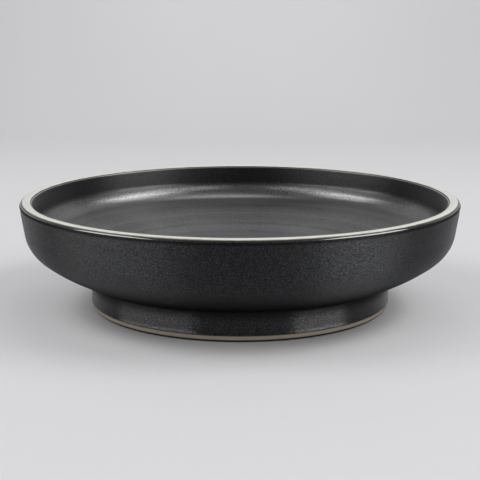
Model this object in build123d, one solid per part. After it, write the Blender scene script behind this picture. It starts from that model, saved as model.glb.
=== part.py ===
from build123d import *
import os
from math import acos, asin, cos, degrees, radians, sin, sqrt, tan

# Wide stoneware flower dish on a low foot ring, with a dark glaze and a pale band on the lip.
# Every piece is a section in radius and height, turned about the vertical axis.
# Millimetres, +Z up, origin on the table under the middle of the dish.

# Overall size, over the glaze
rim_diameter = 300.0
height = 75.5

# Wall and lip
wall_thickness = 8.8    # from glazed face to glazed face
wall_lean = 8.9         # degrees that the wall leans outwards from upright
lip_rise = 3.4          # crown of the lip above its widest part
lip_shoulder = 2.2      # radius of the lip's two rounded edges
lip_band = 5.9          # width of the pale band across the crown

# Belly and base
belly_radius = 24.5
belly_turn = 52.5       # degrees below level that the face looks where the belly meets the underside
underside_radius = 106.0
base_lift = 16.0        # underside of the base above the table

# Inside
cove_radius = 15.0      # round between the wall and the floor
cove_turn = 66.0        # degrees above level that the face looks where the cove meets the dished floor
floor_height = 31.0     # flat middle of the floor above the table
floor_flat = 80.0       # diameter of the flat middle, where a pin holder stands

# Foot ring
foot_diameter = 206.0   # over the glaze
foot_wall = 10.6
foot_edge = 3.0         # rounding of the ring's two lower edges
bare_band = 4.6         # height of the bare clay above the table

# Coats and joint
glaze = 0.6
glaze_pool = 2.5        # radius of the glaze that gathers in the corner over the foot
slip = 0.8              # layer of slip between the ring and its seat


def polar(centre, radius, angle):
    """Point at a distance from a centre, in a direction given in degrees above level outwards."""
    turn = radians(angle)
    return (centre[0] + radius * cos(turn), centre[1] + radius * sin(turn))


def back(run):
    """The same run of arcs and corners, walked the other way."""
    flipped = []
    for stretch in reversed(run):
        if len(stretch) == 4:
            centre, radius, start, end = stretch
            stretch = (centre, radius, end, start)
        flipped.append(stretch)
    return flipped


def turned(run):
    """Solid turned from a closed run of arcs (centre, radius, start, end) and corners (radius, height)."""
    shapes = []
    for stretch in run:
        if len(stretch) == 4:
            centre, radius, start, end = stretch
            shapes.append(CenterArc(centre, radius, start, end - start))
        else:
            shapes.append(Vector(*stretch))
    edges = []
    for shape, following in zip(shapes, shapes[1:] + shapes[:1]):
        here = shape
        there = following
        if isinstance(shape, Edge):
            edges.append(shape)
            here = shape @ 1
        if isinstance(following, Edge):
            there = following @ 0
        if there != here:
            edges.append(Line(here, there))
    section = Plane.XZ * make_face(edges)
    return revolve(section, axis=Axis.Z)


# Lip: an upright oval crown that runs tangent into two shoulders, and they into the two faces of the wall
lean = radians(wall_lean)
half_wall = wall_thickness / 2
shoulder_offset = (half_wall - lip_shoulder) / cos(lean)
crown_radius = (shoulder_offset**2 + lip_rise**2 - lip_shoulder**2) / (2 * (lip_rise - lip_shoulder))
crown_spread = degrees(asin(shoulder_offset / (crown_radius - lip_shoulder)))
band_spread = degrees(asin(lip_band / 2 / crown_radius))
lip_radius = rim_diameter / 2 - lip_shoulder - shoulder_offset
lip_height = height - lip_rise
crown_centre = (lip_radius, height - crown_radius)
outer_shoulder = (lip_radius + shoulder_offset, lip_height)
inner_shoulder = (lip_radius - shoulder_offset, lip_height)

# Belly and underside: the straight wall takes up what height the arcs leave
belly_inset = belly_radius - half_wall
belly_height = base_lift + underside_radius - (underside_radius - belly_radius) * sin(radians(belly_turn))
straight_wall = (lip_height + belly_inset * sin(lean) - belly_height) / cos(lean)
belly_centre = (lip_radius - straight_wall * sin(lean) - belly_inset * cos(lean), belly_height)
underside_centre = polar(belly_centre, belly_radius - underside_radius, -belly_turn)

# Cove and dished floor: the dish is as wide as it takes for the cove to run tangent into the wall
cove_setback = (half_wall + cove_radius) / cos(lean)
dish_reach = lip_radius - cove_setback - (lip_height - floor_height - cove_radius) * tan(lean) - floor_flat / 2
dish_drop = dish_reach / (cos(radians(cove_turn)) - (1 - sin(radians(cove_turn))) * tan(lean))
dish_radius = cove_radius + dish_drop
dish_centre = (floor_flat / 2, floor_height + dish_radius)
cove_centre = polar(dish_centre, dish_drop, -cove_turn)


def underside_angle(reach, depth):
    """Direction from the underside's centre to its point at a radius, set in by a depth of glaze."""
    return -degrees(acos((reach - underside_centre[0]) / (underside_radius - depth)))


def underside_height(reach, depth):
    """Height of the underside at a radius, set in by a depth of glaze."""
    return underside_centre[1] - sqrt((underside_radius - depth) ** 2 - (reach - underside_centre[0]) ** 2)


# Foot ring and its seat: the seat is level, with a shoulder inside the ring that centres it
foot_radius = foot_diameter / 2
foot_clay = foot_radius - glaze
foot_inside = foot_clay - foot_wall
seat_shoulder = foot_inside - slip
seat_height = underside_height(foot_clay, glaze)
seat_angle = underside_angle(foot_clay, glaze)
shoulder_height = underside_height(seat_shoulder, glaze)
ring_top = seat_height - slip


def outer_face(depth, foot_angle):
    """Outer face from the pale band down to the foot, set in by a depth of glaze."""
    return [
        (crown_centre, crown_radius - depth, 90 - band_spread, 90 - crown_spread),
        (outer_shoulder, lip_shoulder - depth, 90 - crown_spread, -wall_lean),
        (belly_centre, belly_radius - depth, -wall_lean, -belly_turn),
        (underside_centre, underside_radius - depth, -belly_turn, foot_angle),
    ]


def lip_face(depth):
    """Crown of the lip under the pale band, from its outer edge to its inner edge."""
    return [(crown_centre, crown_radius - depth, 90 - band_spread, 90 + band_spread)]


def inner_face(depth):
    """Inner face from the pale band down to the middle of the floor, set in by a depth of glaze."""
    return [
        (crown_centre, crown_radius - depth, 90 + band_spread, 90 + crown_spread),
        (inner_shoulder, lip_shoulder - depth, 90 + crown_spread, 180 - wall_lean),
        (cove_centre, cove_radius + depth, -wall_lean, -cove_turn),
        (dish_centre, dish_radius + depth, -cove_turn, -90),
        (0, floor_height - depth),
    ]


def recess_face(depth, reach):
    """Underside of the base inside the foot ring, from the middle out to a radius."""
    return [
        (0, base_lift + depth),
        (underside_centre, underside_radius - depth, -90, underside_angle(reach, depth)),
    ]


def basin():
    """Thrown bowl, with the seat for the foot ring turned into its underside."""
    seat = [(seat_shoulder, seat_height)]
    underside = recess_face(glaze, seat_shoulder) + seat
    outside = back(outer_face(glaze, seat_angle))
    return turned(underside + outside + lip_face(glaze) + inner_face(glaze))


def foot_ring():
    """Thrown ring that carries the bowl, with rounded lower edges."""
    return turned([
        (foot_inside, ring_top),
        (foot_clay, ring_top),
        ((foot_clay - foot_edge, foot_edge), foot_edge, 0, -90),
        ((foot_inside + foot_edge, foot_edge), foot_edge, -90, -180),
    ])


def luting_slip():
    """Slip that fills the joint, over the ring's top and round the seat's shoulder."""
    return turned([
        (foot_clay, seat_height),
        (seat_shoulder, seat_height),
        (seat_shoulder, shoulder_height),
        (foot_inside, shoulder_height),
        (foot_inside, ring_top),
        (foot_clay, ring_top),
    ])


def outer_glaze():
    """Dark coat outside, from the pale band down over the foot to the bare clay."""
    pool_reach = foot_radius + glaze_pool
    pool_centre = (pool_reach, underside_height(pool_reach, -glaze_pool))
    pool_angle = underside_angle(pool_reach, -glaze_pool)
    pool = [(pool_centre, glaze_pool, 180 + pool_angle, 180)]
    wiped_edge = [(foot_radius, bare_band), (foot_clay, bare_band)]
    return turned(outer_face(0, pool_angle) + pool + wiped_edge + back(outer_face(glaze, seat_angle)))


def inner_glaze():
    """Dark coat inside, from the pale band down over the whole floor."""
    return turned(inner_face(0) + back(inner_face(glaze)))


def lip_glaze():
    """Pale band along the crown of the lip."""
    return turned(lip_face(0) + back(lip_face(glaze)))


def recess_glaze():
    """Dark coat under the base, over the joint and down the ring's inside to the bare clay."""
    wiped_edge = [(foot_inside - glaze, bare_band), (foot_inside, bare_band)]
    under_joint = [(foot_inside, shoulder_height)]
    coat = recess_face(0, foot_inside - glaze)
    return turned(coat + wiped_edge + under_joint + back(recess_face(glaze, seat_shoulder)))


pieces = {
    "basin": basin(),
    "foot_ring": foot_ring(),
    "luting_slip": luting_slip(),
    "inner_glaze": inner_glaze(),
    "outer_glaze": outer_glaze(),
    "lip_glaze": lip_glaze(),
    "recess_glaze": recess_glaze(),
}

os.makedirs("parts", exist_ok=True)
for node, shape in pieces.items():
    export_step(shape, f"parts/{node}.step")
    print(f"{node}: {shape.volume / 1000:.1f} cm3")
print(f"straight wall {straight_wall:.2f}, seat {seat_height:.2f}, dish radius {dish_radius:.2f}")
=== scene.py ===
# %% [markdown]
# # A black flower dish
# A suiban is a wide, low dish that holds water for a flower arrangement. This one is thrown stoneware under
# a satin black glaze, with a pale band along the lip and a strip of bare clay at the bottom of the foot.
# The packed CAD model is the fixed frame: it gives the size and place of every piece, in metres. The dish
# could be dressed by giving the CAD nodes new materials only, but then it would have no throwing rings, no
# rolled glaze edges and no wavering lip, so each face that shows is made again here as a fine surface in the
# same place.

# %% Load the packed dish
import bpy
import numpy as np
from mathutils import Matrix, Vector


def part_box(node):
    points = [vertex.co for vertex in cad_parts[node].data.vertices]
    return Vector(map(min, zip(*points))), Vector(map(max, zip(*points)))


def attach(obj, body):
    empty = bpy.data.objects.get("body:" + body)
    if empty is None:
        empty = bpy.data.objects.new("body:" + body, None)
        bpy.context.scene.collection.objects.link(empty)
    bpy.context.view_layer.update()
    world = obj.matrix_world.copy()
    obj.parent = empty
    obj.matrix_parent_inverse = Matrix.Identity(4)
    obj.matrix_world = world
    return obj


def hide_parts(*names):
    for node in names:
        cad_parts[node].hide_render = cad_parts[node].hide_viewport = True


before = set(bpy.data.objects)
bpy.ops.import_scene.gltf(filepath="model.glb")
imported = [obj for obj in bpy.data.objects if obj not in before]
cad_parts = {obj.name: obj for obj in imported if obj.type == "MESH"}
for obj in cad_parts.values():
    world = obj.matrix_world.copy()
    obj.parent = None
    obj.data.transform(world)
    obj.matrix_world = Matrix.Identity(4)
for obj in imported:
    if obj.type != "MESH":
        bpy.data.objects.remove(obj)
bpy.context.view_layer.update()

scene = bpy.context.scene
print("nodes:", ", ".join(sorted(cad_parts)))

# %% [markdown]
# ## The camera
# The picture was taken from a little above the rim with a long lens, so the two sides of the dish hardly
# converge. A camera could be set by eye. This one comes from a fit of a pinhole camera to the edges of the
# lip, wall and foot: it stands in front of the dish (towards -Y), looks down by about 12 degrees and has no
# shift.

# %% Camera
MM = 0.001
camera_place = (0.0, -818.8 * MM, 216.0 * MM)
camera_pitch = 11.875       # degrees below level
camera_lens = 90.30         # mm
camera_sensor = 36.0        # mm, across the picture
camera_nearest = 0.01

eye = bpy.data.cameras.new("photo_camera")
eye.sensor_fit = "HORIZONTAL"
eye.sensor_width = camera_sensor
eye.lens = camera_lens
eye.clip_start = camera_nearest
camera = bpy.data.objects.new("photo_camera", eye)
camera.location = camera_place
camera.rotation_euler = (np.radians(90 - camera_pitch), 0.0, 0.0)
scene.collection.objects.link(camera)
scene.camera = camera
print("camera at", camera_place, "lens", camera_lens)

# %% [markdown]
# ## The section of the dish
# A thrown dish is the same all round, so a single cut through its wall says nearly everything about it. The
# rim, the height, the foot and the bare band are read from the frame. The rest are the section's own sizes:
# an oval crown that runs into two small shoulders, a straight wall that leans out, a tight belly and a flat
# underside arc, each tangent to the next. Inside, a round cove joins the wall to a shallow, dished floor, so
# the base is thicker than the wall.

# %% Sizes of the section
wall_thickness = 8.8 * MM
wall_lean = 8.9             # degrees out from upright
lip_rise = 3.4 * MM         # crown over the centres of the shoulders
lip_shoulder = 2.2 * MM
lip_band = 5.9 * MM         # width of the pale band
belly_radius = 24.5 * MM
belly_turn = 52.5           # degrees below level where the belly meets the underside
underside_radius = 106.0 * MM
cove_radius = 15.0 * MM
cove_turn = 66.0            # degrees below level where the cove meets the dished floor
floor_flat = 80.0 * MM      # diameter of the flat middle of the floor
base_lift = 16.0 * MM       # glazed underside of the base, over the table
foot_wall = 10.6 * MM       # thickness of the foot ring
foot_edge = 3.0 * MM        # rounding of its two lower edges
glaze = 0.6 * MM            # thickness of every coat
glaze_pool = 2.5 * MM       # rounding of the glaze in the corner over the foot

rim_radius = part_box("outer_glaze")[1].x
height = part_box("lip_glaze")[1].z
bare_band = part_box("outer_glaze")[0].z
floor_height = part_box("inner_glaze")[0].z + glaze
foot_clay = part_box("foot_ring")[1].x
ring_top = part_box("foot_ring")[1].z
print(f"height {height / MM:.1f} mm, bare band {bare_band / MM:.1f} mm, floor at {floor_height / MM:.1f} mm")

# %% Centres of the lip's arcs
lean = np.radians(wall_lean)
half_wall = wall_thickness / 2
shoulder_offset = (half_wall - lip_shoulder) / np.cos(lean)
crown_radius = (shoulder_offset**2 + lip_rise**2 - lip_shoulder**2) / (2 * (lip_rise - lip_shoulder))
crown_spread = np.degrees(np.arcsin(shoulder_offset / (crown_radius - lip_shoulder)))
band_spread = np.degrees(np.arcsin(lip_band / 2 / crown_radius))
lip_radius = rim_radius - lip_shoulder - shoulder_offset
lip_height = height - lip_rise
crown_centre = (lip_radius, height - crown_radius)
outer_shoulder = (lip_radius + shoulder_offset, lip_height)
inner_shoulder = (lip_radius - shoulder_offset, lip_height)
print(f"crown radius {crown_radius / MM:.2f} mm, lip radius {lip_radius / MM:.2f} mm")

# %% Centres of the belly's and underside's arcs
belly_inset = belly_radius - half_wall
underside_drop = underside_radius - belly_radius
belly_height = base_lift + underside_radius - underside_drop * np.sin(np.radians(belly_turn))
straight_wall = (lip_height + belly_inset * np.sin(lean) - belly_height) / np.cos(lean)
belly_reach = lip_radius - straight_wall * np.sin(lean) - belly_inset * np.cos(lean)
belly_centre = (belly_reach, belly_height)
underside_centre = (
    belly_reach - underside_drop * np.cos(np.radians(belly_turn)),
    belly_height + underside_drop * np.sin(np.radians(belly_turn)),
)
foot_radius = foot_clay + glaze
foot_inside = foot_clay - foot_wall
print(f"rim {2 * rim_radius / MM:.1f} mm, foot {2 * foot_radius / MM:.1f} mm, "
      f"straight wall {straight_wall / MM:.2f} mm")

# %% Centres of the cove's and floor's arcs
turn = np.radians(cove_turn)
cove_setback = (half_wall + cove_radius) / np.cos(lean)
cove_rise = lip_height - floor_height - cove_radius
dish_reach = lip_radius - cove_setback - cove_rise * np.tan(lean) - floor_flat / 2
dish_drop = dish_reach / (np.cos(turn) - (1 - np.sin(turn)) * np.tan(lean))
dish_radius = cove_radius + dish_drop
dish_centre = (floor_flat / 2, floor_height + dish_radius)
cove_centre = (dish_centre[0] + dish_drop * np.cos(turn), dish_centre[1] - dish_drop * np.sin(turn))
print(f"dished floor radius {dish_radius / MM:.1f} mm, cove centre {cove_centre[1] / MM:.1f} mm high")

# %% [markdown]
# ## Walking along the section
# Each skin of the dish is a function of two parameters: how far along the section, and which way round the
# dish. A lathe of straight pieces or a Screw modifier would give the same ring everywhere. Working on whole
# arrays lets every row be pushed in or out by a different amount in each direction, which is what a hand on a
# wheel does. A strip holds four layers: radius, height, and the direction (outwards, upwards) that its face
# looks.

# %% Arcs and straight stretches
DIRECTIONS = 288
around = np.linspace(0, 2 * np.pi, DIRECTIONS, endpoint=False)


def all_round(point):
    """A point (radius, height) in every direction. Either number may already differ around the dish."""
    return np.stack([np.broadcast_to(value, DIRECTIONS) for value in point])[:, None]


def arc_strip(centre, radius, start, end, rows, side=1):
    """Arc of a section: point = centre + radius * (cos a, sin a), where a goes from start to end degrees in
    equal steps. Centre, start and end may differ around the dish. The face looks away from the centre, or at
    it if side is -1."""
    share = np.linspace(0, 1, rows)[:, None]
    angle = np.radians(start + (end - start) * share * np.ones(DIRECTIONS))
    outwards = np.stack([np.cos(angle), np.sin(angle)])
    return np.concatenate([all_round(centre) + radius * outwards, side * outwards])


def line_strip(first, last, rows):
    """Straight stretch of a section: point = first + (last - first) * share, facing left of the way it goes.
    First and last are (radius, height), and may differ around the dish."""
    share = np.linspace(0, 1, rows)[:, None]
    way = all_round(last) - all_round(first)
    place = all_round(first) + way * share
    facing = np.stack([-way[1], way[0]]) / np.hypot(*way)
    return np.concatenate([place, np.broadcast_to(facing, place.shape)])


def join(*strips):
    """One strip from several that follow each other: each later strip gives up its first row."""
    return np.concatenate([strips[0]] + [strip[:, 1:] for strip in strips[1:]], axis=1)


print("directions around the dish:", DIRECTIONS)

# %% Measuring and pressing a strip
BACK_STEP = 6               # the hidden back of a coat keeps every sixth row


def along(strip):
    """Distance walked along a strip from its first row: the sum of the steps between rows."""
    steps = np.hypot(np.diff(strip[0], axis=0), np.diff(strip[1], axis=0))
    return np.concatenate([np.zeros((1, DIRECTIONS)), np.cumsum(steps, axis=0)])


def pressed(strip, depth):
    """The strip pushed against its face by a depth: point = point - depth * facing."""
    moved = strip.copy()
    moved[:2] -= depth * strip[2:]
    return moved


def back_of(strip, step=BACK_STEP):
    """Back of a coat on the clay: the strip pressed by the glaze's thickness, from its last row back, one row
    in each step."""
    return pressed(strip, glaze)[:, ::-step]


print(f"a coat's back keeps one row in {BACK_STEP}")

# %% [markdown]
# ## From section to mesh
# Turning the section gives a grid of points. Its faces follow from the grid's own index numbers, so there is
# no loop over points. A coat of glaze is a closed loop of rows: its face, its edge, its back on the clay and
# its other edge. A coat that runs over the middle of the dish starts and ends on the axis, where a whole row
# is one point. Rows run clockwise round the section, seen with the axis on the left, so that every face looks
# outwards.

# %% Mesh of a turned section
SHARP = np.radians(38)      # faces that meet at more than this show an edge


def turned(name, strip, on_axis=False):
    """Object whose point (i, j) is (r cos v, r sin v, z), for row i of the strip and direction j at angle v.
    Rows close into a loop, or, if on_axis, the first and last row are one point each."""
    reach, level = strip[:2]
    rows = reach.shape[0]
    points = np.stack([reach * np.cos(around), reach * np.sin(around), level], axis=-1)
    number = np.arange(rows * DIRECTIONS).reshape(rows, DIRECTIONS)
    if on_axis:
        points = np.concatenate([points[0, :1], points[1:-1].reshape(-1, 3), points[-1, :1]])
        number = np.clip(number - DIRECTIONS + 1, 0, len(points) - 1)
        here, below = number[1:-2], number[2:-1]
        fans = np.concatenate([
            np.stack([number[0], number[1], np.roll(number[1], -1)], axis=-1),
            np.stack([number[-2], number[-1], np.roll(number[-2], -1)], axis=-1),
        ])
    else:
        points = points.reshape(-1, 3)
        here, below = number, np.roll(number, -1, axis=0)
        fans = np.zeros((0, 3), int)
    quads = np.stack([here, below, np.roll(below, -1, axis=1), np.roll(here, -1, axis=1)], axis=-1)
    quads = quads.reshape(-1, 4)

    mesh = bpy.data.meshes.new(name)
    mesh.vertices.add(len(points))
    mesh.vertices.foreach_set("co", points.astype(np.float32).ravel())
    corners = np.concatenate([quads.ravel(), fans.ravel()])
    starts = np.concatenate([4 * np.arange(len(quads)), 4 * len(quads) + 3 * np.arange(len(fans))])
    mesh.loops.add(len(corners))
    mesh.loops.foreach_set("vertex_index", corners.astype(np.int32))
    mesh.polygons.add(len(starts))
    mesh.polygons.foreach_set("loop_start", starts.astype(np.int32))
    mesh.polygons.foreach_set("use_smooth", np.ones(len(starts), bool))
    mesh.update(calc_edges=True)
    mesh.validate()
    mesh.set_sharp_from_angle(angle=SHARP)
    piece = bpy.data.objects.new(name, mesh)
    scene.collection.objects.link(piece)
    print(f"{name}: {rows} rows, {2 * len(quads) + len(fans)} triangles")
    return piece


print(f"an edge shows from {np.degrees(SHARP):.0f} degrees")

# %% [markdown]
# ## Marks of the wheel
# Fingers leave shallow rings that climb in a slow spiral, and a line drawn by hand round a lip is never quite
# level. Image or noise textures could show this as bump, but rings in the mesh also bend the highlights on
# the inside. Rings are sums of sine waves along the section, whose phase also turns once round the dish. A
# wavering line is a sum of sine waves around the dish. The draws are seeded, so the dish comes out the same
# every time.

# %% Rings and wavering lines
SEED = 11
FALL_OFF = 0.7              # a wave with n periods round the dish is n ** 0.7 times weaker than the first
hand = np.random.default_rng(SEED)


def rings(walked, spacings, turns=1):
    """Ring pattern from -1 to 1: the mean of sine waves of the distance walked, one for each spacing, each
    with its own seeded start. Phase = distance / spacing + turns * share of the way round."""
    starts = hand.uniform(0, 1, len(spacings))
    share = around / (2 * np.pi)
    waves = [np.sin(2 * np.pi * (walked / gap + count * share + start))
             for gap, count, start in zip(spacings, np.broadcast_to(turns, len(spacings)), starts)]
    return np.mean(waves, axis=0)


def waver(waves):
    """Line from about -1 to 1 around the dish: the sum of seeded sine waves with 1, 2, 3 ... periods, the later
    ones weaker."""
    count = np.arange(1, waves + 1)[:, None]
    starts = hand.uniform(0, 2 * np.pi, (waves, 1))
    line = np.sum(np.sin(count * around + starts) / count**FALL_OFF, axis=0)
    return line / np.abs(line).max()


def groove(walked, middle, width):
    """Hollow from 0 to 1: a bell curve exp(-((distance - middle) / width) ** 2)."""
    return np.exp(-(((walked - middle) / width) ** 2))


def ramp(distance, length):
    """Straight rise from 0 to 1: distance / length, held between the two."""
    return np.clip(distance / length, 0, 1)


print("seed of the hand:", SEED)

# %% Edges of the glazes
BAND_WAVES = 9
WIPE_WAVES = 14
band_wander = 1.6           # degrees on the crown that the pale band's edges stray
wipe_wander = 0.12 * MM     # height that the wiped edge strays to either side
outer_edge = 90 - band_spread + band_wander * waver(BAND_WAVES)
inner_edge = 90 + band_spread + band_wander * waver(BAND_WAVES)
wiped_edge = bare_band + wipe_wander * (1 + waver(WIPE_WAVES))
print("pale band from", f"{inner_edge.min():.1f} to {outer_edge.max():.1f} degrees on the crown")

# %% [markdown]
# ## Outside glaze
# The dark coat starts at the pale band, rolls over the lip's outer edge, dips into a shallow neck where a
# finger steadied the rim, runs down wall, belly and underside, gathers in the corner over the foot, and ends
# in a rolled edge where it was wiped away. A single revolved curve would be one smooth shape. Here the
# stretches are joined arcs, so the neck, the faint rings and the roll at the wiped edge can each be pressed
# into their own place.

# %% Outside coat: the plain face
coat_round = 0.28 * MM      # rounding of the wiped edge


def underside_height(reach, radius):
    """Height of the underside's arc at a radius from the axis: centre - sqrt(radius ** 2 - offset ** 2)."""
    return underside_centre[1] - np.sqrt(radius**2 - (reach - underside_centre[0]) ** 2)


pool_reach = foot_radius + glaze_pool
pool_arc = underside_radius + glaze_pool
pool_centre = (pool_reach, underside_height(pool_reach, pool_arc))
pool_angle = -np.degrees(np.arccos((pool_reach - underside_centre[0]) / pool_arc))
wall_foot = (belly_reach + belly_radius * np.cos(lean), belly_height - belly_radius * np.sin(lean))
wall_head = (outer_shoulder[0] + lip_shoulder * np.cos(lean), lip_height - lip_shoulder * np.sin(lean))

outside_face = join(
    arc_strip(crown_centre, crown_radius, outer_edge, 90 - crown_spread, rows=7),
    arc_strip(outer_shoulder, lip_shoulder, 90 - crown_spread, -wall_lean, rows=16),
    line_strip(wall_head, wall_foot, rows=46),
    arc_strip(belly_centre, belly_radius, -wall_lean, -belly_turn, rows=40),
    arc_strip(underside_centre, underside_radius, -belly_turn, pool_angle, rows=70),
    arc_strip(pool_centre, glaze_pool, 180 + pool_angle, 180, rows=14, side=-1),
    line_strip((foot_radius, pool_centre[1]), (foot_radius, wiped_edge + coat_round), rows=36),
)
print("outside face:", outside_face.shape[1], "rows")

# %% Outside coat: neck, rings and rolled edge
neck_height = 70.4 * MM
neck_depth = 0.30 * MM
neck_width = 1.6 * MM
outside_ring_depth = 0.008 * MM
outside_ring_gaps = (7.3 * MM, 5.1 * MM, 11.9 * MM)
edge_roll = 0.22 * MM       # glaze that gathers along the wiped edge
edge_roll_width = 1.3 * MM

walked = along(outside_face)
face_height = outside_face[1]
neck = groove(face_height, neck_height, neck_width) * (outside_face[0] > lip_radius)
roll = groove(face_height, wiped_edge + coat_round, edge_roll_width) * (face_height < ring_top)
ring_marks = 1 + rings(walked, outside_ring_gaps)
marks = neck_depth * neck + outside_ring_depth * ring_marks - edge_roll * roll
edge_centre = (foot_radius - coat_round + edge_roll, wiped_edge + coat_round)
rolled = arc_strip(edge_centre, coat_round, 0, -90, rows=6)
outside_coat = turned("outside_coat", np.concatenate(
    [pressed(outside_face, marks), rolled[:, 1:], back_of(outside_face)], axis=1))
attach(outside_coat, "root")
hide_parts("outer_glaze")

# %% [markdown]
# ## Inside glaze
# Inside, the coat runs from the pale band down the wall, round a tight cove and over the dished floor to the
# middle. This is where the wheel shows most: each turn of the fingers left a shallow ring in the floor. A
# smooth bowl with a bump texture would keep one clean sheen. With the rings in the mesh the sheen breaks into
# the long streaks that the photograph shows.

# %% Inside coat
inside_ring_depth = 0.045 * MM
inside_ring_gaps = (9.7 * MM, 6.1 * MM, 14.3 * MM, 4.3 * MM)
ring_fade = 6 * MM          # rings fade out over this length, at the lip and at the axis
calm_lip = 3 * MM           # rings start this far below the shoulders' centres
inner_head = (inner_shoulder[0] - lip_shoulder * np.cos(lean), lip_height + lip_shoulder * np.sin(lean))
inner_foot = (cove_centre[0] + cove_radius * np.cos(lean), cove_centre[1] - cove_radius * np.sin(lean))

inside_face = join(
    line_strip((0.0, floor_height), (floor_flat / 2, floor_height), rows=40),
    arc_strip(dish_centre, dish_radius, -90, -cove_turn, rows=110, side=-1),
    arc_strip(cove_centre, cove_radius, -cove_turn, -wall_lean, rows=60, side=-1),
    line_strip(inner_foot, inner_head, rows=30),
    arc_strip(inner_shoulder, lip_shoulder, 180 - wall_lean, 90 + crown_spread, rows=14),
    arc_strip(crown_centre, crown_radius, 90 + crown_spread, inner_edge, rows=7),
)
walked = along(inside_face)
fade = ramp(lip_height - calm_lip - inside_face[1], ring_fade) * ramp(walked, ring_fade)
ring_marks = 1 + rings(walked, inside_ring_gaps)
inside_front = pressed(inside_face, fade * inside_ring_depth * ring_marks)
inside_back = back_of(inside_face)
inside_back[0, -1] = 0.0    # the back's last row is one point on the axis
inside_coat = turned("inside_coat", np.concatenate([inside_front, inside_back], axis=1), on_axis=True)
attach(inside_coat, "root")
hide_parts("inner_glaze")

# %% [markdown]
# ## Pale lip
# The crown of the lip was wiped while the black glaze was wet, and a thin pale glaze stands there instead. It
# could be a stripe painted in the black coat's material, but on the dish it is a coat of its own, so here it
# is a closed band that shares its wavering edges with the two black coats and leaves no gap to them.

# %% Pale band on the crown
LIP_BACK_STEP = 5
lip_face = arc_strip(crown_centre, crown_radius, inner_edge, outer_edge, rows=26)
pale_lip = turned("pale_lip", np.concatenate([lip_face, back_of(lip_face, LIP_BACK_STEP)], axis=1))
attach(pale_lip, "root")
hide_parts("lip_glaze")

# %% [markdown]
# ## Foot ring
# The bowl stands on a thrown ring. Only its lowest strip is bare, with both lower edges turned round on the
# wheel so that it does not scratch a table. A plain revolved ring would look like moulded plastic, so fine
# turning lines run round the bare clay. They are only pressed in, never out, so the ring still stands flat.

# %% Foot ring
turning_depth = 0.03 * MM
turning_gaps = (0.9 * MM, 1.4 * MM, 0.6 * MM)
turning_turns = (1, 2, 1)
standing_height = 0.2 * MM  # the face that stands on the table, below this, stays flat
ring_run = join(
    line_strip((foot_clay, ring_top), (foot_clay, foot_edge), rows=50),
    arc_strip((foot_clay - foot_edge, foot_edge), foot_edge, 0, -90, rows=20),
    line_strip((foot_clay - foot_edge, 0.0), (foot_inside + foot_edge, 0.0), rows=16),
    arc_strip((foot_inside + foot_edge, foot_edge), foot_edge, -90, -180, rows=20),
    line_strip((foot_inside, foot_edge), (foot_inside, ring_top), rows=50),
)
lines = (1 + rings(along(ring_run), turning_gaps, turning_turns)) * (ring_run[1] > standing_height)
bare_foot = turned("bare_foot", pressed(ring_run, turning_depth * lines))
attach(bare_foot, "root")
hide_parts("foot_ring")

# %% [markdown]
# ## Glaze in the recess
# Under the dish, inside the ring, the same black coat covers the base and the inner side of the ring, and is
# wiped at the same height as outside. It does not show in the photograph. A plain disc would do from the
# front, but someone who turns the dish over expects the spiral that the turning tool leaves, so the base
# carries wide, shallow rings.

# %% Recess coat
recess_ring_depth = 0.06 * MM
recess_ring_gaps = (5.7 * MM, 3.9 * MM)
corner_fade = 4 * MM        # rings fade out over this length, towards the foot ring
recess_reach = foot_inside - glaze
recess_top = underside_height(recess_reach, underside_radius)
recess_angle = -np.degrees(np.arccos((recess_reach - underside_centre[0]) / underside_radius))
recess_face = join(
    line_strip((recess_reach, wiped_edge + coat_round), (recess_reach, recess_top), rows=30),
    arc_strip(underside_centre, underside_radius, recess_angle, -90, rows=40),
    line_strip((underside_centre[0], base_lift), (0.0, base_lift), rows=90),
)
on_base = ramp(recess_reach - recess_face[0], corner_fade) * ramp(recess_face[0], ring_fade)
recess_marks = 1 + rings(along(recess_face), recess_ring_gaps)
recess_front = pressed(recess_face, recess_ring_depth * on_base * recess_marks)
recess_back = back_of(recess_face)
recess_back[0, 0] = 0.0     # the back's first row is one point on the axis
recess_coat = turned("recess_coat", np.concatenate([recess_back, recess_front], axis=1), on_axis=True)
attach(recess_coat, "root")
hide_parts("recess_glaze")

# %% [markdown]
# ## A way to write materials
# Materials are node trees. They could be built by hand with a line for every node and link, which is long and
# hard to read. Instead one small class stands for a value in the tree, and arithmetic on it adds the Math
# nodes, so that a finish reads like a sum. Every other node comes from one method that takes its type, its
# settings and its sockets.

# %% Values that can be added and multiplied
class Value:
    """One output of a node. Arithmetic with numbers or other values adds a Math node and gives its output."""

    def __init__(self, tree, socket):
        self.tree = tree
        self.socket = socket

    def worked(self, operation, first, second=0.0):
        return self.tree.node("ShaderNodeMath", {"operation": operation}, {0: first, 1: second})

    def __add__(self, other):
        return self.worked("ADD", self, other)

    def __sub__(self, other):
        return self.worked("SUBTRACT", self, other)

    def __rsub__(self, other):
        return self.worked("SUBTRACT", other, self)

    def __mul__(self, other):
        return self.worked("MULTIPLY", self, other)

    def __truediv__(self, other):
        return self.worked("DIVIDE", self, other)

    def __abs__(self):
        return self.worked("ABSOLUTE", self)

    __radd__ = __add__
    __rmul__ = __mul__


print("values know + - * / and abs")


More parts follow.
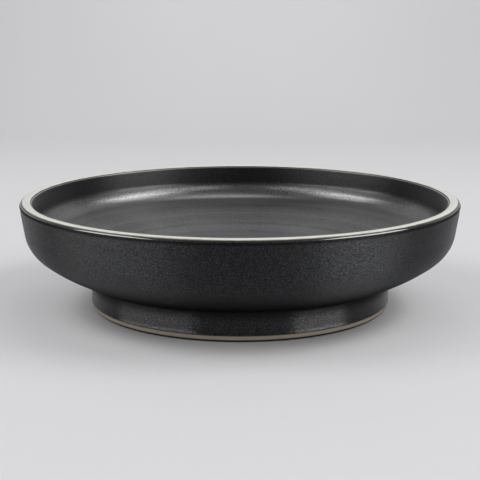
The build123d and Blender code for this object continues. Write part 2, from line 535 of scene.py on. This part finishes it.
# %% Trees of nodes
class Tree:
    """A material's or world's nodes. The method node adds any node, and the others are its common uses."""

    def __init__(self, owner):
        owner.use_nodes = True
        self.nodes = owner.node_tree.nodes
        self.links = owner.node_tree.links

    def feed(self, socket, value):
        if isinstance(value, Value):
            self.links.new(value.socket, socket)
        else:
            socket.default_value = value

    def node(self, kind, settings, sockets, output=0):
        made = self.nodes.new(kind)
        for name, setting in settings.items():
            setattr(made, name, setting)
        for name, value in sockets.items():
            self.feed(made.inputs[name], value)
        return Value(self, made.outputs[output])

    def set(self, name, **sockets):
        """Feeds sockets of a node that is there already. A space in a socket's name is written as _."""
        for socket, value in sockets.items():
            self.feed(self.nodes[name].inputs[socket.replace("_", " ")], value)

    def shader(self, name):
        """What a node that is there already gives."""
        return Value(self, self.nodes[name].outputs[0])

    def mix(self, share, first, second):
        """Colour between two: first * (1 - share) + second * share."""
        return self.node("ShaderNodeMix", {"data_type": "RGBA"}, {0: share, 6: first, 7: second}, output=2)

    def blend(self, share, first, second):
        """Shader between two: first * (1 - share) + second * share."""
        return self.node("ShaderNodeMixShader", {}, {0: share, 1: first, 2: second})

    def step(self, value, low, high):
        """Smooth step: 0 below low, 1 above high, an S curve between."""
        return self.node("ShaderNodeMapRange", {"interpolation_type": "SMOOTHSTEP"},
                         {"Value": value, "From Min": low, "From Max": high})

    def zone(self, value, begin, full, fade, end):
        """Smooth hill: 0 below begin, 1 from full to fade, 0 above end."""
        return self.step(value, begin, full) * (1 - self.step(value, fade, end))

    def held(self, value):
        """The value, held between 0 and 1."""
        return self.node("ShaderNodeClamp", {}, {"Value": value})

    def noise(self, place, cells, detail=2.0, roughness=0.5):
        """Noise from 0 to 1 with that many cells to the metre."""
        return self.node("ShaderNodeTexNoise", {},
                         {"Vector": place, "Scale": cells, "Detail": detail, "Roughness": roughness})

    def bump(self, height, strength, depth):
        """Normal of a surface that rises by depth where the height goes from 0 to 1."""
        return self.node("ShaderNodeBump", {}, {"Strength": strength, "Distance": depth, "Height": height})

    def place(self):
        """Object coordinates, in metres from the dish's origin."""
        return self.node("ShaderNodeTexCoord", {}, {}, output="Object")

    def part(self, place, axis):
        """One coordinate of a place: X, Y or Z."""
        return self.node("ShaderNodeSeparateXYZ", {}, {"Vector": place}, output=axis)

    def reach(self, place):
        """Distance of a place from the axis: the length of (x, y, 0)."""
        flat = self.node("ShaderNodeVectorMath", {"operation": "MULTIPLY"}, {0: place, 1: (1.0, 1.0, 0.0)})
        return self.node("ShaderNodeVectorMath", {"operation": "LENGTH"}, {0: flat}, output="Value")

    def seen(self):
        """1 for what the camera sees itself, 0 for light and reflections."""
        return self.node("ShaderNodeLightPath", {}, {}, output="Is Camera Ray")


def new_finish(name):
    """A new material and its tree."""
    material = bpy.data.materials.new(name)
    return material, Tree(material)


def dress(material, *pieces):
    """Gives pieces one material."""
    for piece in pieces:
        piece.data.materials.clear()
        piece.data.materials.append(material)
    print(f"{material.name}: {len(material.node_tree.nodes)} nodes on {len(pieces)} pieces")


print("a tree can:", ", ".join(name for name in vars(Tree) if not name.startswith("_")))

# %% [markdown]
# ## Satin black glaze
# An iron glaze that is cooled slowly grows fine crystals at its surface: it stays dark, but its gloss is
# broken into a satin sheen. The crystals are tiny mirrors, so here they are metallic cells a third of a
# millimetre wide. Fine turning lines run round the dish and draw every reflection out up and down, which an
# anisotropic sheen stands for. In the cove and on the floor the glaze ran together while molten and set with
# a clear, glossier skin, which breaks up into grains along its upper edge, and a thin line of the same skin
# stands on the lip's two shoulders. In the corner over the foot and just under the lip a near-black diffuse
# is mixed in as painted shade. One dark colour and one roughness would look like paint. Next to the pale band
# the glaze breaks to olive brown.

# %% Tones and heights of the black glaze
glaze_dark = (0.0015, 0.0015, 0.0017, 1.0)
glaze_light = (0.0030, 0.0030, 0.0033, 1.0)
crystal_grey = (0.072, 0.074, 0.079, 1.0)
olive_break = (0.022, 0.018, 0.011, 1.0)
# painted shade: the near-black that the corner over the foot and the dip under the lip are mixed towards
painted_shade_black = (0.004, 0.004, 0.004, 1.0)

# a zone's four heights say where it begins, is full, starts to fade and ends
lip_line = [lip_height + over * MM for over in (1.45, 1.65, 1.95, 2.15)]
# zones of painted shade, under the lip and in the corner over the foot, and how strong each is
under_lip_shade = [lip_height + over * MM for over in (-1.3, 0.6, 1.1, 1.5)]
foot_corner_shade = [level * MM for level in (11, 20, 23, 44)]
under_lip_shade_strength = 0.66
foot_corner_shade_strength = 0.85

break_rise = 1.5 * MM       # olive brown comes in over this height, from the shoulders' centres up
break_reach = (1.0, 1.32)   # and goes from here to here, in half widths of the pale band
glossy_foot = (22 * MM, 32 * MM)    # fully glossier up to the first height, not at all over the second
print(f"bright line on the lip from {lip_line[0] / MM:.1f} to {lip_line[-1] / MM:.1f} mm high")

# %% Shares in the black glaze
MIDDLE = 0.5                # mean of a noise
cell_count = 3000.0         # crystals to the metre
crystal_chance = (0.45, 1.0)
cloud_roughness = 0.10
streak_roughness = 0.06
foot_gloss = 0.27           # roughness that the belly and foot lack
turning_sheen = 0.93
upright = 0.25              # turn of the sheen, in whole turns

skin_base = 0.22
skin_throws = 1.3
skin_clouds = 0.8
skin_grain = 1.6
cove_grain = 2.0            # more grain near the skin's upper edge
cove_zone = (7 * MM, 3 * MM)    # it comes in between these depths below that edge
skin_fade = 5.5 * MM        # height over which the skin ends
skin_ragged = 7 * MM        # height by which grains carry its edge up and down
print(f"the skin ends over {skin_fade / MM:.1f} mm, its edge strays over {skin_ragged / MM:.1f} mm")


# %% Black glaze
def black_glaze(name, roughness, index, skin_roughness, skin_index, skin_level=None):
    """Black glaze with a clear skin on the lip's shoulders, glossier under the belly and on the foot. If a
    skin level is given, the skin also lies below it, with a ragged upper edge."""
    material, tree = new_finish(name)
    place = tree.place()
    reach, level = tree.reach(place), tree.part(place, "Z")
    ring_place = tree.node("ShaderNodeCombineXYZ", {}, {"X": reach, "Y": level})
    crystals = tree.noise(place, cells=1150.0, detail=2.0, roughness=0.6)
    clouds = tree.noise(place, cells=22.0, detail=3.0)
    streaks = tree.noise(ring_place, cells=420.0, detail=3.0, roughness=0.6)
    cells = tree.node("ShaderNodeTexVoronoi", {}, {"Vector": place, "Scale": cell_count}, output="Color")
    chance = tree.node("ShaderNodeSeparateColor", {}, {"Color": cells}, output="Red")
    specks = tree.step(chance, *crystal_chance)

    from_crown = abs(reach - lip_radius) / (lip_band / 2)
    near_crown = tree.step(level, lip_height, lip_height + break_rise)
    breaking = (1 - tree.step(from_crown, *break_reach)) * near_crown
    skin = tree.zone(level, *lip_line)
    if skin_level is not None:
        throws = tree.noise(ring_place, cells=130.0, detail=4.0, roughness=0.65)
        ragged = level + (crystals - MIDDLE) * skin_ragged
        pool = 1 - tree.step(ragged, skin_level, skin_level + skin_fade)
        in_cove = tree.step(level, skin_level - cove_zone[0], skin_level - cove_zone[1])
        grain = (crystals - MIDDLE) * (skin_grain + cove_grain * in_cove)
        skin = skin + pool * (throws * skin_throws + (clouds - MIDDLE) * skin_clouds + grain + skin_base)
    low = 1 - tree.step(level, *glossy_foot)
    satin = roughness + (clouds - MIDDLE) * cloud_roughness + (streaks - MIDDLE) * streak_roughness

    speckled = tree.mix(specks, tree.mix(clouds, glaze_dark, glaze_light), crystal_grey)
    tree.set(
        "Principled BSDF",
        Base_Color=tree.mix(breaking, speckled, olive_break),
        Roughness=satin - low * foot_gloss,
        Metallic=specks * (1 - breaking),
        IOR=index,
        Anisotropic=turning_sheen,
        Anisotropic_Rotation=upright,
        Coat_Weight=tree.held(skin),
        Coat_Roughness=skin_roughness,
        Coat_IOR=skin_index,
        Normal=tree.bump(crystals + streaks * 0.3, strength=0.6, depth=0.06 * MM),
    )
    return material


def with_painted_shade(material):
    """Mixes a near-black diffuse into a glaze as painted shade in two zones: the corner where the foot
    meets the underside, and the dip under the lip."""
    tree = Tree(material)
    level = tree.part(tree.place(), "Z")
    corner = tree.zone(level, *foot_corner_shade) * foot_corner_shade_strength
    dip = tree.zone(level, *under_lip_shade) * under_lip_shade_strength
    shade_black = tree.node("ShaderNodeBsdfDiffuse", {}, {"Color": painted_shade_black})
    tree.set("Material Output", Surface=tree.blend(corner + dip, tree.shader("Principled BSDF"), shade_black))


# %% Both black finishes
skin_drop = 6 * MM          # edge of the skin in the cove, below the cove's centre
outside_material = black_glaze(
    "satin_black_glaze", roughness=0.56, index=1.33, skin_roughness=0.06, skin_index=2.0)
# painted shade in the corner over the foot and in the dip under the lip
with_painted_shade(outside_material)
inside_material = black_glaze(
    "pooled_black_glaze", roughness=0.55, index=1.45, skin_roughness=0.32, skin_index=2.65,
    skin_level=cove_centre[1] - skin_drop)
dress(outside_material, outside_coat, recess_coat)
dress(inside_material, inside_coat)

# %% [markdown]
# ## Pale lip glaze
# The pale band is a thin milky glaze over light clay, smoother than the black. A flat cream would look like
# tape. It gets faint clouds, a few pinholes and a greenish-brown stain along both edges, where the black
# glaze bled into it.

# %% Pale glaze
milk_grey = (0.665, 0.652, 0.595, 1.0)
milk_white = (0.725, 0.712, 0.660, 1.0)
pinhole_brown = (0.40, 0.36, 0.26, 1.0)
edge_brown = (0.110, 0.100, 0.066, 1.0)
milk_shift = 0.20 * MM      # the clean milk lies this far inside the middle of the crown
stain_reach = (0.76, 0.98)  # the stain comes in from here to here, in half widths of the band
stain_wander = 0.16
pinhole_chance = (0.70, 0.80)
pinhole_strength = 0.35

pale_material, tree = new_finish("pale_lip_glaze")
place = tree.place()
clouds = tree.noise(place, cells=90.0, detail=3.0)
pinholes = tree.step(tree.noise(place, cells=900.0, detail=1.0), *pinhole_chance)
edge_wander = (tree.noise(place, cells=160.0) - MIDDLE) * stain_wander
from_milk = abs(tree.reach(place) - (lip_radius - milk_shift)) / (lip_band / 2) + edge_wander
stain = tree.step(from_milk, *stain_reach)
holed = tree.mix(pinholes * pinhole_strength, tree.mix(clouds, milk_grey, milk_white), pinhole_brown)
tree.set(
    "Principled BSDF",
    Base_Color=tree.mix(stain, holed, edge_brown),
    Roughness=0.26 + clouds * 0.12,
    IOR=1.5,
    Normal=tree.bump(clouds - pinholes, strength=0.25, depth=0.05 * MM),
)
dress(pale_material, pale_lip)

# %% [markdown]
# ## Bare stoneware
# Where the glaze was wiped off, the fired clay is a sandy buff, matt, with dark iron grains. A brown line
# follows the edge of the glaze, and the outer rounding at the bottom is painted nearly black as a contact
# shadow. Plain beige would look like wood filler, so grains, sand, the brown line and the painted shadow are
# in the material.

# %% Stoneware
buff_dark = (0.160, 0.138, 0.104, 1.0)
buff_light = (0.205, 0.180, 0.140, 1.0)
# darker brown on the clay just below the glaze's edge
edge_line_brown = (0.035, 0.022, 0.014, 1.0)
iron_brown = (0.12, 0.095, 0.07, 1.0)
# painted contact shadow on the outer rounding at the bottom of the foot
painted_contact_shadow = (0.010, 0.008, 0.006, 1.0)
edge_line_heights = (bare_band - 0.8 * MM, bare_band + 0.1 * MM)
rounding_reach = (foot_clay - 2.9 * MM, foot_clay - 2.4 * MM)
contact_shadow_heights = (1.5 * MM, 2.2 * MM)
grain_chance = (0.66, 0.74)
grain_strength = 0.5

clay_material, tree = new_finish("bare_stoneware")
place = tree.place()
level = tree.part(place, "Z")
sand = tree.noise(place, cells=1400.0, detail=3.0, roughness=0.65)
clouds = tree.noise(place, cells=60.0)
grains = tree.step(tree.noise(place, cells=700.0, detail=1.0), *grain_chance)
buff = tree.mix(clouds, buff_dark, buff_light)
edge_lined = tree.mix(tree.step(level, *edge_line_heights), buff, edge_line_brown)
grained = tree.mix(grains * grain_strength, edge_lined, iron_brown)
outer_rounding = tree.step(tree.reach(place), *rounding_reach)
# painted contact shadow: the outer rounding, below these heights
contact_shadowed = outer_rounding * (1 - tree.step(level, *contact_shadow_heights))
tree.set(
    "Principled BSDF",
    Base_Color=tree.mix(contact_shadowed, grained, painted_contact_shadow),
    Roughness=0.72 + sand * 0.2,
    IOR=1.3,
    Normal=tree.bump(sand, strength=0.5, depth=0.08 * MM),
)
dress(clay_material, bare_foot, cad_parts["basin"])

# %% [markdown]
# ## Joining slip
# The slip between bowl and foot ring is the same clay, stirred thin. It lies inside the joint and shows
# nowhere. It could go without a finish, but someone may take the dish apart, so it gets a plain sandy one.

# %% Slip
slip_dark = (0.36, 0.31, 0.25, 1.0)
slip_light = (0.43, 0.38, 0.31, 1.0)
slip_material, tree = new_finish("joining_slip")
sand = tree.noise(tree.place(), cells=1800.0)
tree.set(
    "Principled BSDF",
    Base_Color=tree.mix(sand, slip_dark, slip_light),
    Roughness=0.8 + sand * 0.15,
    Normal=tree.bump(sand, strength=0.4, depth=0.06 * MM),
)
dress(slip_material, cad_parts["luting_slip"])

# %% [markdown]
# ## Floor and backdrop
# The dish stands on a pale paper sweep: a floor that curves up into a wall, so that no horizon shows. A flat
# plane and a grey world would leave a line in the reflections. The sweep is one sheet, a profile carried
# sideways. Its tone falls off towards the back and the sides, a painted fall-off of the light.

# %% Paper sweep
sweep_half_width = 3.0
sweep_front = -6.0
sweep_back = 0.9
sweep_round = 0.9
sweep_top = 2.6
SWEEP_ROWS = 24

bend = np.linspace(0, np.pi / 2, SWEEP_ROWS)
profile = np.concatenate([
    [[sweep_front, 0.0]],
    np.stack([sweep_back + sweep_round * np.sin(bend), sweep_round * (1 - np.cos(bend))], axis=-1),
    [[sweep_back + sweep_round, sweep_top]],
])
sides = np.array([-sweep_half_width, sweep_half_width])
across = [sides[:, None], profile[:, 0], profile[:, 1]]
sheet = np.stack([np.broadcast_to(values, (2, len(profile))) for values in across], axis=-1).reshape(-1, 3)
first = np.arange(len(profile) - 1)
panels = np.stack([first, first + len(profile), first + len(profile) + 1, first + 1], axis=-1)
paper = bpy.data.meshes.new("paper_sweep")
paper.from_pydata(sheet.tolist(), [], panels.tolist())
paper.polygons.foreach_set("use_smooth", np.ones(len(panels), bool))
floor = bpy.data.objects.new("paper_sweep", paper)
scene.collection.objects.link(floor)
print("paper sweep:", len(panels), "panels")

# %% [markdown]
# ## Paper
# To the camera the paper shines a little by itself, except close to the foot, which leaves a painted shade
# round it, and wholly where it lies out of the studio's even light, far in front of the dish and far to its
# sides. More lamps could do the same, but they would also turn the glaze grey. This keeps the shadow soft and
# the floor pale without more light on the dish.

# %% Paper finish
near_paper = ((0.735, 0.735, 0.747, 1.0), (0.755, 0.755, 0.767, 1.0))
# painted fall-off of the light: the paper's tone further back, then to the sides
far_paper = ((0.600, 0.600, 0.611, 1.0), (0.500, 0.500, 0.510, 1.0))
paper_shine = 0.28

# each pair says where a change begins and where it is complete, in metres
foot_shade = (foot_radius - 4 * MM, foot_radius + 36 * MM)
back_depth = (0.15, 1.6)
side_tone = (0.05, 0.7)
front_limit = (-1.4, -0.5)
side_limit = (0.7, 1.6)

paper_material, tree = new_finish("pale_paper")
place = tree.place()
side, depth = tree.part(place, "X"), tree.part(place, "Y")
near = tree.mix(tree.noise(place, cells=240.0), *near_paper)
far = tree.mix(tree.step(abs(side), *side_tone), *far_paper)
paper_colour = tree.mix(tree.step(depth, *back_depth), near, far)
# painted shade round the foot: the paper's shine is held back close to it
clear_of_foot = tree.step(tree.reach(place), *foot_shade)
out_of_light = 1 - tree.step(depth, *front_limit) * (1 - tree.step(abs(side), *side_limit))
shine = tree.seen() * (paper_shine * clear_of_foot + (1 - paper_shine) * out_of_light)
bright_paper = tree.node("ShaderNodeEmission", {}, {"Color": paper_colour, "Strength": 1.0})
tree.set("Principled BSDF", Base_Color=paper_colour, Roughness=0.9, Specular_IOR_Level=0.1)
tree.set("Material Output", Surface=tree.blend(shine, tree.shader("Principled BSDF"), bright_paper))
dress(paper_material, floor)

# %% [markdown]
# ## Studio light
# Black glaze shows its surroundings more than its own colour. Two large soft lamps, high at the sides, draw
# the long highlights in the cove. Each has a weaker wing nearer to the camera. A soft lamp above draws the
# thin ridge of light along the back, and two low strips give the glow on the wall and foot. The room around
# is dark to the dish, so the middle of the wall stays dark, and pale to the camera. One big dome of light
# would be simpler, but it would turn the black glaze grey all over.

# %% Lamps
lamp_distance = 3.0
studio_lamps = {            # azimuth, elevation in degrees, width, height in metres, glow
    "right_softbox": (86, 48, 1.90, 1.20, 5.0),
    "right_wing": (38, 37, 1.90, 0.60, 2.2),
    "left_softbox": (-86, 47, 1.70, 1.10, 4.3),
    "left_wing": (-44, 37, 1.50, 0.60, 2.4),
    "top_softbox": (150, 80, 1.30, 1.30, 1.45),
    "right_panel": (61, 4, 2.30, 0.40, 21.0),
    "left_panel": (-66, 4, 3.80, 0.40, 13.5),
}


def lamp(name, azimuth, elevation, width, tall, glow):
    """Rectangle lamp that looks at the dish from a direction, azimuth turning from the camera's side towards
    +X. Its power is glow * pi * area, so glow is the brightness of its face, where 1 is white."""
    turn, lift = np.radians(azimuth), np.radians(elevation)
    way = np.array([np.sin(turn) * np.cos(lift), -np.cos(turn) * np.cos(lift), np.sin(lift)])
    light = bpy.data.lights.new(name, "AREA")
    light.shape = "RECTANGLE"
    light.size = width
    light.size_y = tall
    light.energy = glow * np.pi * width * tall
    holder = bpy.data.objects.new(name, light)
    holder.location = lamp_distance * way
    holder.rotation_euler = (np.pi / 2 - lift, 0.0, turn)
    scene.collection.objects.link(holder)
    print(f"{name}: {light.energy:.1f} W")


for name, settings in studio_lamps.items():
    lamp(name, *settings)

# %% Room
room_grey = (0.11, 0.11, 0.112, 1.0)
room_pale = (0.745, 0.745, 0.757, 1.0)
world = bpy.data.worlds.new("studio_room")
scene.world = world
tree = Tree(world)
tree.set("Background", Color=room_grey, Strength=1.0)
pale_room = tree.node("ShaderNodeBackground", {}, {"Color": room_pale, "Strength": 1.0})
tree.set("World Output", Surface=tree.blend(tree.seen(), tree.shader("Background"), pale_room))
scene.view_settings.view_transform = "Standard"
print("room:", len(tree.nodes), "nodes, view transform", scene.view_settings.view_transform)

# %% [markdown]
